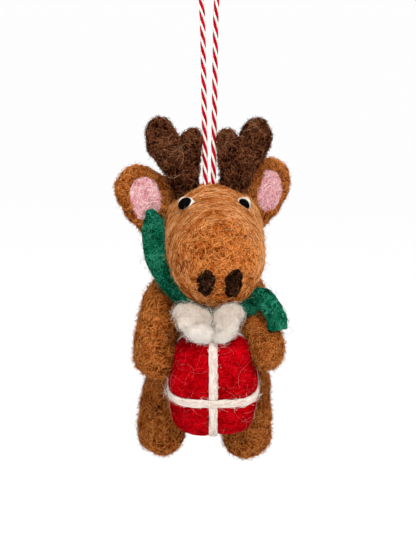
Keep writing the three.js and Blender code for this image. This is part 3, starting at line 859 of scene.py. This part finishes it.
# %% Felt the small pieces
fine_felt = dict(voxel=0.16, rounds=8, grow=0.12)
lining = dict(fine_felt, layers=((3, 0.3), (1.1, 0.2)))
nostril = dict(fine_felt, layers=((2.5, 0.7), (0.9, 0.35)), grow=0.3)
surround = dict(fine_felt, layers=((2, 0.2), (0.8, 0.1)), grow=0.1)
eye = dict(fine_felt, layers=((1.5, 0.06),))
right_eye = dict(eye, grow=0.0, stretch=((35, 1.14), (125, 0.94)), shift=(-1.25, 0.15, 0))
left_eye = dict(eye, grow=0.14, stretch=((-40, 1.15), (50, 0.94)), shift=(-0.3, -0.8, -0.95))
small = [
    *both_sides(("ear_lining", "ear_pink", pink_wool, lining)),
    ("nostril_right", "nostril_wool", nostril_wool, dict(nostril, shift=(0, 0.1, 0.9))),
    ("nostril_left", "nostril_wool", nostril_wool, dict(nostril, shift=(0, 0.1, 1.0))),
    ("eye_surround_right", "cream_wool", cream_wool, dict(surround, shift=(-0.7, 0.1, 0.1))),
    ("eye_surround_left", "cream_wool", cream_wool, dict(surround, shift=(-0.2, -0.75, -1.0))),
    ("eye_right", "eye_black", eye_black, right_eye),
    ("eye_left", "eye_black", eye_black, left_eye),
    ("twine_knot", "twine", ply_white, dict(fine_felt, layers=((2, 0.3),))),
]
for node, slot, material, how in small:
    felt_form(node, slot, material, **how)

# %% [markdown]
# ## Ribbons and scarf
# The ribbons are bands of unspun roving, pressed into the gift. The scarf is
# the one piece cut from a sheet of ready-made felt, so it keeps straight edges
# and an even thickness, with few lumps. Cloth simulation could bend it, but its
# solid already lies where the real one does, and simulated cloth might not.

# %% Felt the ribbons and the scarf
ribbon_felt = dict(voxel=0.25, rounds=8, grow=-0.15, layers=((2, 0.3), (0.8, 0.12)))
for node in ("ribbon_front", "ribbon_side", "ribbon_girth"):
    felt_form(node, "cream_wool", cream_wool, **ribbon_felt)
felt_form("scarf", "scarf_felt", scarf_felt, voxel=0.3, rounds=8, grow=0.05, layers=((6, 0.4), (1.2, 0.12)))

# %% [markdown]
# ## Loose fibres
# Felt is never clean: fibres lie across the skin, and some stand off it and
# catch the light along every outline. Real strands are made as thin tubes that
# creep over the skin. They start and end in it, or lift away at one end.
# Particle hair would look alike, but wouldn't be a mesh in the export.

# %% A skin to creep over
class Skin:
    """The triangles of a piece, with a tree that finds the nearest spot on them."""

    def __init__(self, piece):
        mesh = piece.data
        mesh.calc_loop_triangles()
        corners = np.empty(len(mesh.loop_triangles) * 3, np.int32)
        mesh.loop_triangles.foreach_get("vertices", corners)
        self.corners = corners.reshape(-1, 3)
        self.points, self.normals = arrays_of(mesh)
        self.tree = BVHTree.FromPolygons(
            [Vector(p) for p in self.points], [tuple(c) for c in self.corners.tolist()]
        )
        a, b, c = (self.points[self.corners[:, k]] for k in range(3))
        self.areas = np.linalg.norm(np.cross(b - a, c - a), axis=1) / 2

    def scatter(self, rng, count, keep=None):
        """Spots spread evenly over the skin, and the way out of it at each."""
        picked = rng.choice(len(self.areas), size=count, p=self.areas / self.areas.sum())
        u, v = rng.random(count), rng.random(count)
        flip = u + v > 1
        u[flip], v[flip] = 1 - u[flip], 1 - v[flip]
        weights = np.stack([1 - u - v, u, v], axis=1)[:, :, None]
        spots = (self.points[self.corners[picked]] * weights).sum(axis=1)
        outward = unit((self.normals[self.corners[picked]] * weights).sum(axis=1))
        if keep is not None:
            chosen = keep(spots, outward)
            spots, outward = spots[chosen], outward[chosen]
        return spots, outward

    def nearest(self, spots):
        """The nearest spots on the skin, and the way out at each."""
        found = [self.tree.find_nearest(Vector(p)) for p in spots]
        return np.array([f[0] for f in found]), np.array([f[1] for f in found])


skins = {"head": Skin(felted["head"])}
print("triangles on the head:", len(skins["head"].corners))


# %% [markdown]
# ## How a fibre creeps
# A fibre is laid step by step: a little along its heading, back onto the skin
# at the nearest spot, a small turn, and on. So it bends with the form under it,
# where a straight tube would cut through or hover. Its height over the skin is
# an arch, or a rise to a free end.

# %% First headings
def turned(heading, outward, angle):
    """Headings turned about the way out of the skin, each by its own angle."""
    return heading * np.cos(angle)[:, None] + np.cross(outward, heading) * np.sin(angle)[:, None]


def first_heading(rng, spots, outward, direction, wander):
    """Any way along the skin, or the given direction or its opposite, give or take some."""
    count = len(spots)
    if direction is None:
        return unit(np.cross(outward, rng.normal(size=(count, 3))))
    heading = unit(direction(spots, outward))
    heading = turned(heading, outward, rng.normal(0, 1, count) * wander)
    return heading * rng.choice([-1, 1], count)[:, None]


# %% Creep over a skin
length_spread = (0.5, 1.5)  # of the length that is asked for
lift_spread = (0.2, 1.0)
arch_sink, tip_sink = 0.15, 0.05  # how deep the ends lie in the skin, in lifts
rise_curve = 1.4  # above 1, a free end leaves the skin late
wobble = 0.5  # of the bend, at each step
old_way, new_way = 0.3, 0.7  # how fast the way out follows the skin


def creep(
    skin, rng, spots, outward, length, lift, bend, direction=None, wander=0.4, steps=6, free=0.0,
    reach_out=3.0,
):
    """Lines over the skin from the spots. length and lift are in millimetres, free
    is the share of fibres whose far end stands off, reach_out how many lifts high."""
    count = len(spots)
    heading = first_heading(rng, spots, outward, direction, wander)
    reach = length * MM * rng.uniform(*length_spread, count)
    turn_rate = rng.normal(0, bend, count)
    height = lift * MM * rng.uniform(*lift_spread, count)
    stands = rng.random(count) < free
    lines = np.empty((count, steps + 1, 3))
    at, out = spots.copy(), outward.copy()
    for k in range(steps + 1):
        share = k / steps
        arch = np.sin(math.pi * share) - arch_sink
        rise = np.where(stands, share**rise_curve * reach_out - tip_sink, arch) * height
        lines[:, k] = at + out * rise[:, None]
        if k == steps:
            break
        angle = (turn_rate + rng.normal(0, bend * wobble, count)) / steps
        heading = unit(heading - out * np.sum(heading * out, axis=1, keepdims=True))
        heading = turned(heading, out, angle)
        at, out_now = skin.nearest(at + heading * (reach / steps)[:, None])
        out = unit(out * old_way + out_now * new_way)
    return lines


print("fibres run", length_spread[0], "to", length_spread[1], "times the length asked for")


# %% Fibres as a piece
root_share, tip_share = 0.5, 0.4  # of the thickness
thickness_spread = (0.6, 1.3)


def loose_fibres(
    name, node, material, count, seed, thickness=0.2, keep=None, tint=None, spread=0.32, **way
):
    """One mesh of fibres on a felted piece. thickness is in millimetres,
    keep and tint choose and shade by place, and spread is how far the tones differ."""
    if node not in skins:
        skins[node] = Skin(felted[node])
    rng = np.random.default_rng(seed)
    spots, outward = skins[node].scatter(rng, count, keep)
    lines = creep(skins[node], rng, spots, outward, **way)
    taper = np.ones(lines.shape[1])
    taper[0], taper[-1] = root_share, tip_share
    radii = thickness * MM / 2 * rng.uniform(*thickness_spread, len(spots))[:, None] * taper[None, :]
    tones = rng.normal(0.5, spread, len(spots))
    if tint is not None:
        tones += tint(spots, outward)
    mesh = tubes(name, lines, radii, tones=np.clip(tones, 0, 1))
    mesh.materials.append(material)
    place(new_object(name, mesh), "figure", slots[node])
    print(name, len(spots))


# %% [markdown]
# ## Colours of the fibres
# Dyed wool is never one colour. Each fibre's own tone picks a place between the
# dark and the light end of its colour, so light fibres cross dark ones as they
# do in a tuft of real wool.

# %% Fibre colours
head_fibre = fibre_material(
    "fibre_head", "702c07", "b86428", "e8b078", patches=130, patch_share=0.45, flecks=0.8,
    fleck_colour="4a1f08",
)
muzzle_fibre = fibre_material(
    "fibre_muzzle", "5e2004", "c46426", "eca058", patches=260, patch_share=0.35, flecks=0.8,
    fleck_colour="341206",
)
body_fibre = fibre_material(
    "fibre_body", "361002", "9e4613", "e08b46", patch_share=0.35, flecks=0.4, fleck_colour="351705",
)
ear_fibre = fibre_material(
    "fibre_ear", "451303", "ac4f1a", "e9984f", patch_share=0.35, flecks=0.5, fleck_colour="3f1c06",
)
antler_fibre = fibre_material("fibre_antler", "100502", "462212", "9a6040", patches=200)
nostril_fibre = fibre_material("fibre_nostril", "090402", "1d0f08", "4a3124", patches=250, patch_share=0.3)
pink_fibre = fibre_material("fibre_pink", "cb858c", "eab4b7", "fde2e0", patches=250)
gift_fibre = fibre_material("fibre_gift", "660003", "a60108", "d61323", patches=160, patch_share=0.35)
ribbon_fibre = fibre_material("fibre_ribbon", "b8a296", "e5d6cc", "f8ede6", patches=120, patch_share=0.2)
# The white fibres are lighter than the ribbons' as painted light for the bow in the muzzle's shadow; they
# also serve as strays on the ribbons.
white_fibre = fibre_material("fibre_white", "d2bfab", "f9ede1", "fffcf8", patches=120, patch_share=0.3)
green_fibre = fibre_material("fibre_green", "011f14", "0a5a41", "3fa07d", patches=180, patch_share=0.7)
dark_fibre = fibre_material("fibre_dark", "150802", "2e1407", "4a2410", patch_share=0)
blush_fibre = fibre_material("fibre_blush", "b63e3e", "cf6c66", "e49c92", patch_share=0)
tan_fibre = fibre_material("fibre_tan", "98561f", "c27c3c", "dfa662", patch_share=0)
rust_fibre = fibre_material("fibre_rust", "6e300c", "b06428", "dd9a56", patch_share=0)
straw_fibre = fibre_material("fibre_straw", "8a5e3e", "b88a64", "dcb894", patch_share=0)
print("materials with the fibres:", len(bpy.data.materials))

# %% [markdown]
# ## The lie and tone of the fibres
# On the cranium and the ribbons the wool was wound, so fibres run round an
# axis. On the muzzle it was stabbed into a tangle, with an uneven edge. The
# tones shift slowly over a piece: antlers darken to their roots, and painted
# light and shade make ears pale to their upper rims, limbs deepen beside the
# gift, the left cheek lighter and the bow's high loops and crease darker.

# %% Where the fibres lie
gift_tilt, girth_tilt = math.radians(15), math.radians(25)
across_gift = (1, 0, 0)
behind_gift = (0, math.cos(gift_tilt), math.sin(gift_tilt))
up_girth = (0, -math.sin(girth_tilt), math.cos(girth_tilt))
muzzle_start = 30.0  # mm along the head
muzzle_ragged = 6.0  # mm, how uneven its edge is
muzzle_overlap = 1.5  # mm
muzzle_front = 29.0 * MM
ragged_per_metre = 260
no_zero = 1e-3  # keeps a heading on the axis itself from being zero


def round_axis(axis):
    """Fibres wound round an axis, as on the head, or along a band in a plane."""
    normal = np.array(axis)
    return lambda spots, outward: np.cross(np.broadcast_to(normal, spots.shape), outward) + no_zero


def along_head(spots):
    return (spots - np.array(cranium)) @ np.array(head_axis)


def on_muzzle(spots):
    """How far out on the muzzle a spot is, with an uneven edge: the tangle starts at 0."""
    ragged = np.array([noise.noise(Vector(p) * ragged_per_metre) for p in spots])
    return along_head(spots) / MM - muzzle_start + muzzle_ragged * ragged


def behind_muzzle(spots, outward):
    return on_muzzle(spots) < 0


def tangled_muzzle(spots, outward):
    return on_muzzle(spots) > -muzzle_overlap


def muzzle_end(spots, outward):
    return along_head(spots) > muzzle_front


print("the muzzle starts", muzzle_start, "mm from the middle of the cranium")


# %% Tones of the fibres
# A tone of 0 is the dark end of a colour, 1 is the light end, and these are added.
bands_per_metre = 700
# The second of these is painted light on the left cheek.
band_height, painted_cheek_light = 0.55, 0.6
muzzle_shade = 0.06
muzzle_shade_start, muzzle_shade_length = 24.0, 8.0  # mm along the head
antler_middle, antler_fade = -73.0, 9.0  # mm, height and half the length of the fade
antler_contrast, antler_shade = 0.22, 0.2
# Painted light on the ears, where their skin faces up.
painted_rim_light, ear_shade = 0.45, 0.03
# Painted light and shade on the limbs: lighter far out, darker beside the gift.
limb_middle, limb_fade = 1.5, 30.0  # mm to the left of the twine
limb_contrast, limb_mean = 0.7, 0.68
# Painted shade on the bow: darker towards the high loops under the muzzle, and in the crease.
bow_middle = 0.8  # mm
bow_low, bow_fade = -124.5, 12.0  # mm
bow_darkest, bow_lightest, crease_shade = -0.3, 0.4, 0.35


def head_bands_and_light(spots, outward):
    """Bands along the windings, a deeper muzzle end, and painted light on the left cheek, which faces the
    key light.
    """
    along = along_head(spots)
    round_it = unit(spots - np.array(cranium) - along[:, None] * np.array(head_axis))
    places = [Vector((a * bands_per_metre, *r)) for a, r in zip(along, round_it[:, [0, 2]])]
    bands = np.array([noise.noise(p) for p in places])
    muzzle = np.clip((along / MM - muzzle_shade_start) / muzzle_shade_length, 0, 1)
    cheek = np.clip(round_it[:, 0] - 0.5, 0, 0.5)
    return muzzle_shade - muzzle_shade * muzzle + band_height * bands + painted_cheek_light * cheek


def antler_tone(spots, outward):
    """Antlers are darkest at the root."""
    height = np.clip((spots[:, 2] / MM - antler_middle) / antler_fade, -1, 1)
    return antler_contrast * height - antler_shade


def ear_painted_light(spots, outward):
    """Painted light: where the ears' skin faces up, as on their upper rims, it is palest."""
    return painted_rim_light * np.clip(outward[:, 2], 0, 1) - ear_shade


def limb_light_and_shade(spots, outward):
    """Painted light and shade: limbs are lightest far out and darkest beside the gift, where shade falls.
    """
    far_out = np.clip(np.abs(spots[:, 0] / MM - limb_middle) / limb_fade, 0, 1)
    return limb_contrast * (far_out - limb_mean)


def bow_painted_shade(spots, outward):
    """Painted shade: the bow darkens from its low loops up to its high ones under the muzzle, and in the
    crease above the low loops.
    """
    side = np.where(spots[:, 0] > bow_middle * MM, 1, 0)
    near = np.stack([beside_line(spots, *bow_creases[node]) for node in ("bow_right", "bow_left")])
    shade = near[side, np.arange(len(spots))] * facing_front(outward)
    low = np.clip((bow_low - spots[:, 2] / MM) / bow_fade, bow_darkest, bow_lightest)
    return low - crease_shade * shade


straight_up = np.array([[0.0, 0.0, 1.0]])
print("an ear's rim is lighter by", round(ear_painted_light(straight_up, straight_up)[0], 2))

# %% How each coat lies
wound = dict(
    length=8.5, lift=0.28, bend=0.5, direction=round_axis(head_axis), wander=0.2, free=0.03,
    tint=head_bands_and_light, keep=behind_muzzle,
)
tangle = dict(length=6.0, lift=0.5, bend=1.8, reach_out=1.6, spread=0.42)
muzzle_tangle = dict(
    tangle, length=4.6, lift=0.45, bend=1.6, direction=round_axis(head_axis), wander=0.75, free=0.06,
    tint=head_bands_and_light, keep=tangled_muzzle,
)
body_tangle = dict(tangle, bend=2.2, thickness=0.19, free=0.3, spread=0.5)
limb_tangle = dict(body_tangle, spread=0.55, tint=limb_light_and_shade)
ear_tangle = dict(
    tangle, length=3.8, bend=2.8, reach_out=2.0, thickness=0.18, free=0.35, spread=0.55, tint=ear_painted_light,
)
antler_tangle = dict(ear_tangle, lift=0.7, bend=2.6, reach_out=1.8, spread=0.5, tint=antler_tone)
lining_tangle = dict(tangle, length=3.4, lift=0.45, bend=2.4, thickness=0.19, free=0.15)
nostril_tangle = dict(tangle, length=3.0, lift=0.4, thickness=0.18, free=0.3)
scarf_tangle = dict(tangle, length=3.2, lift=0.3, thickness=0.19, free=0.1)
smooth_coat = dict(length=4.6, lift=0.22, bend=2.0, spread=0.42, thickness=0.17, free=0.02)
fluff = dict(
    length=4.5, lift=0.4, bend=2.0, reach_out=3.2, spread=0.2, thickness=0.11, free=0.5, tint=bow_painted_shade,
)
strand = dict(length=9.0, lift=0.2, bend=0.3, wander=0.12, thickness=0.21, spread=0.28, free=0.05)
print("free fibres on the bow reach out, mm:", round(fluff["lift"] * fluff["reach_out"], 2))

# %% Fibres on every felted piece
coats = [  # piece, wool, meshes, fibres in each mesh, how they lie
    ("head", head_fibre, 2, 4600, wound),
    ("head", muzzle_fibre, 2, 6400, muzzle_tangle),
    ("torso", body_fibre, 2, 4200, body_tangle),
    *both_sides(("arm", body_fibre, 1, 4400, limb_tangle)),
    *both_sides(("leg", body_fibre, 1, 4400, limb_tangle)),
    ("gift_box", gift_fibre, 1, 4600, smooth_coat),
    *both_sides(("ear", ear_fibre, 1, 3600, ear_tangle)),
    *both_sides(("antler", antler_fibre, 1, 3400, antler_tangle)),
    *both_sides(("ear_lining", pink_fibre, 1, 800, lining_tangle)),
    *both_sides(("nostril", nostril_fibre, 1, 420, nostril_tangle)),
    ("bow_right", white_fibre, 1, 4600, fluff),
    ("bow_left", white_fibre, 1, 4000, fluff),
    ("scarf", green_fibre, 1, 4200, scarf_tangle),
    ("ribbon_front", ribbon_fibre, 1, 1000, dict(strand, direction=round_axis(across_gift))),
    ("ribbon_side", ribbon_fibre, 1, 800, dict(strand, direction=round_axis(behind_gift))),
    ("ribbon_girth", ribbon_fibre, 1, 1100, dict(strand, direction=round_axis(up_girth))),
]
first_seed, next_mesh = 100, 50
for number, (node, material, meshes, count, how) in enumerate(coats):
    coat = f"fibres_{node}_muzzle" if material is muzzle_fibre else f"fibres_{node}"
    for k in range(meshes):
        name = f"{coat}_{k + 1}" if meshes > 1 else coat
        loose_fibres(name, node, material, count, first_seed + number + next_mesh * k, **how)

# %% [markdown]
# ## Strays
# A short fuzz stands off all the wool and softens each outline. A few long
# fibres from other colours of wool cling to the gift and the antlers, and show
# as faint loops. These are thinner than the coat. Short dark bits of wool lie
# on the muzzle, and are a little thicker.

# %% Stray fibres
fuzz = dict(length=2.8, lift=0.6, bend=3.0, steps=7, thickness=0.13, free=0.9)
ear_fuzz = dict(fuzz, length=2.4, lift=0.5)
antler_fuzz = dict(fuzz, length=2.4, lift=0.55, thickness=0.14)
head_fuzz = dict(fuzz, length=2.6, lift=0.45, thickness=0.1, free=0.85)
bow_fuzz = dict(length=6, lift=1.0, bend=2.8, steps=8, thickness=0.06, free=0.9)
nostril_fuzz = dict(length=3, lift=0.5, bend=2.4, steps=8, thickness=0.13, free=0.4)
scarf_fuzz = dict(length=5, lift=1.0, bend=2.6, steps=8, thickness=0.08, free=0.7)
ribbon_fuzz = dict(length=4, lift=0.6, bend=2.2, steps=8, thickness=0.06, free=0.7)
band_fuzz = dict(length=6, lift=0.9, bend=2.2, steps=10, thickness=0.08, free=0.8)
flecks_on_muzzle = dict(length=1.8, lift=0.34, bend=2.4, thickness=0.24, keep=muzzle_end)
loops_on_gift = dict(length=12, lift=0.5, bend=2.8, steps=18, thickness=0.04, free=0.1)
loops_on_antler = dict(length=9, lift=1.0, bend=3.0, steps=14, thickness=0.09, free=0.3)
strays = [  # piece, wool, fibres, how they lie
    ("gift_box", blush_fibre, 190, loops_on_gift),
    *both_sides(("ear", rust_fibre, 1800, ear_fuzz)),
    ("head", dark_fibre, 900, flecks_on_muzzle),
    *both_sides(("antler", antler_fibre, 1700, antler_fuzz), ("antler", straw_fibre, 44, loops_on_antler)),
    ("head", tan_fibre, 2400, head_fuzz),
    ("torso", rust_fibre, 2600, fuzz),
    *both_sides(("arm", rust_fibre, 3000, fuzz)),
    *both_sides(("leg", rust_fibre, 3000, fuzz)),
    ("bow_right", white_fibre, 900, bow_fuzz),
    ("bow_left", white_fibre, 800, bow_fuzz),
    *both_sides(("nostril", antler_fibre, 60, nostril_fuzz)),
    ("scarf", green_fibre, 480, scarf_fuzz),
    ("ribbon_front", white_fibre, 130, ribbon_fuzz),
    ("ribbon_girth", white_fibre, 160, band_fuzz),
    ("ribbon_side", white_fibre, 130, band_fuzz),
]
first_stray_seed = 300
for number, (node, material, count, how) in enumerate(strays):
    kind = material.name.split("_")[1]
    loose_fibres(f"strays_{node}_{kind}", node, material, count, first_stray_seed + number, **how)

# %% [markdown]
# ## Long hairs
# Against the white background, single hairs stand out far beyond the fuzz.
# They are very thin and all free at one end. A hundred or two on a piece are
# enough, since only those along its outline are noticed.

# %% Long hairs along the outline
hair = dict(length=4.5, lift=0.85, bend=3.6, steps=9, thickness=0.085, free=1.0)
hairs = [  # piece, wool, hairs
    ("head", tan_fibre, 260),
    *both_sides(("ear", rust_fibre, 150)),
    *both_sides(("antler", antler_fibre, 110)),
    *both_sides(("arm", rust_fibre, 220)),
    *both_sides(("leg", rust_fibre, 240)),
    ("torso", rust_fibre, 240),
    ("scarf", green_fibre, 120),
]
first_hair_seed = 400
for number, (node, material, count) in enumerate(hairs):
    loose_fibres(f"hairs_{node}", node, material, count, first_hair_seed + number, **hair)

# %% [markdown]
# ## Light, floor and background
# The studio light is soft: large lamps stand above, below and behind, so that
# no side of the wool is black. The background is white because its own colour
# is, so nothing more falls on the wool. The floor curves up into the backdrop,
# so no horizon shows.

# %% Lamps
def soft_lamp(name, where, power, size):
    """A round area lamp that shines on the ornament. The larger, the softer its shadows."""
    data = bpy.data.lights.new(name, "AREA")
    data.energy = power
    data.shape = "DISK"
    data.size = size
    lamp = bpy.data.objects.new(name, data)
    bpy.context.scene.collection.objects.link(lamp)
    lamp.location = where
    lamp.rotation_euler = (aim - Vector(where)).to_track_quat("-Z", "Y").to_euler()
    print(name, "watts:", power)


soft_lamp("key_light", where=(0.18, -0.74, 0.6), power=10.0, size=0.5)
soft_lamp("fill_light", where=(-0.25, -0.95, -0.42), power=10.0, size=0.9)
soft_lamp("back_light", where=(0.1, 0.9, 0.5), power=9.0, size=0.8)


# %% White where it is seen, plain where it lights
def seen_itself(tree):
    """1 for a look at the surface itself, straight, in a mirror or through glass."""
    rays = tree.nodes.new("ShaderNodeLightPath").outputs
    seen = math_node(tree, "MAXIMUM", rays["Is Camera Ray"], rays["Is Glossy Ray"])
    return math_node(tree, "MAXIMUM", seen, rays["Is Transmission Ray"])


def mix_into(tree, share, unseen, seen, output):
    """The unseen shader where share is 0 and the seen one where it is 1, as the output."""
    mix = tree.nodes.new("ShaderNodeMixShader")
    out = tree.nodes.new(output)
    join(
        tree,
        (share, mix.inputs[0]),
        (unseen.outputs[0], mix.inputs[1]),
        (seen.outputs[0], mix.inputs[2]),
        (mix.outputs[0], out.inputs["Surface"]),
    )


def plain_shader(tree, kind, grey, **values):
    return set_values(tree.nodes.new(kind), Color=(grey, grey, grey, 1), **values)


# %% Floor and backdrop
floor_height = -0.26
floor_reach = 3.0
curve_start = 0.9
curve_radius = 0.9
curve_cuts = 24
glow_share = 0.94  # the rest keeps the ornament's shadow
curve_turns = [math.radians(90) * k / curve_cuts for k in range(curve_cuts + 1)]
profile = [(-floor_reach, floor_height)]
profile += [
    (curve_start + curve_radius * math.sin(t), floor_height + curve_radius * (1 - math.cos(t)))
    for t in curve_turns
]
profile += [(curve_start + curve_radius, floor_reach)]
rows = len(profile)
floor_points = [(x, y, z) for x in (-floor_reach, floor_reach) for y, z in profile]
floor_mesh = bpy.data.meshes.new("floor")
floor_mesh.from_pydata(floor_points, [], [(k, k + rows, k + rows + 1, k + 1) for k in range(rows - 1)])
floor_mesh.polygons.foreach_set("use_smooth", [True] * len(floor_mesh.polygons))
floor_mesh.update()
floor = new_object("floor", floor_mesh)

pale = bpy.data.materials.new("pale_floor")
pale.use_nodes = True
tree = pale.node_tree
tree.nodes.clear()
matt = plain_shader(tree, "ShaderNodeBsdfDiffuse", 0.85)
glow = plain_shader(tree, "ShaderNodeEmission", 1, Strength=1.01)
share = math_node(tree, "MULTIPLY", seen_itself(tree), glow_share)
mix_into(tree, share, matt, glow, "ShaderNodeOutputMaterial")
floor_mesh.materials.append(pale)
print("floor faces:", len(floor_mesh.polygons))

# %% World
world = bpy.data.worlds.new("studio")
bpy.context.scene.world = world
world.use_nodes = True
tree = world.node_tree
tree.nodes.clear()
ambient = plain_shader(tree, "ShaderNodeBackground", 1, Strength=0.5)
white = plain_shader(tree, "ShaderNodeBackground", 0.985, Strength=1.0)
mix_into(tree, seen_itself(tree), ambient, white, "ShaderNodeOutputWorld")
bpy.context.scene.view_settings.view_transform = "Standard"
print("world:", world.name)
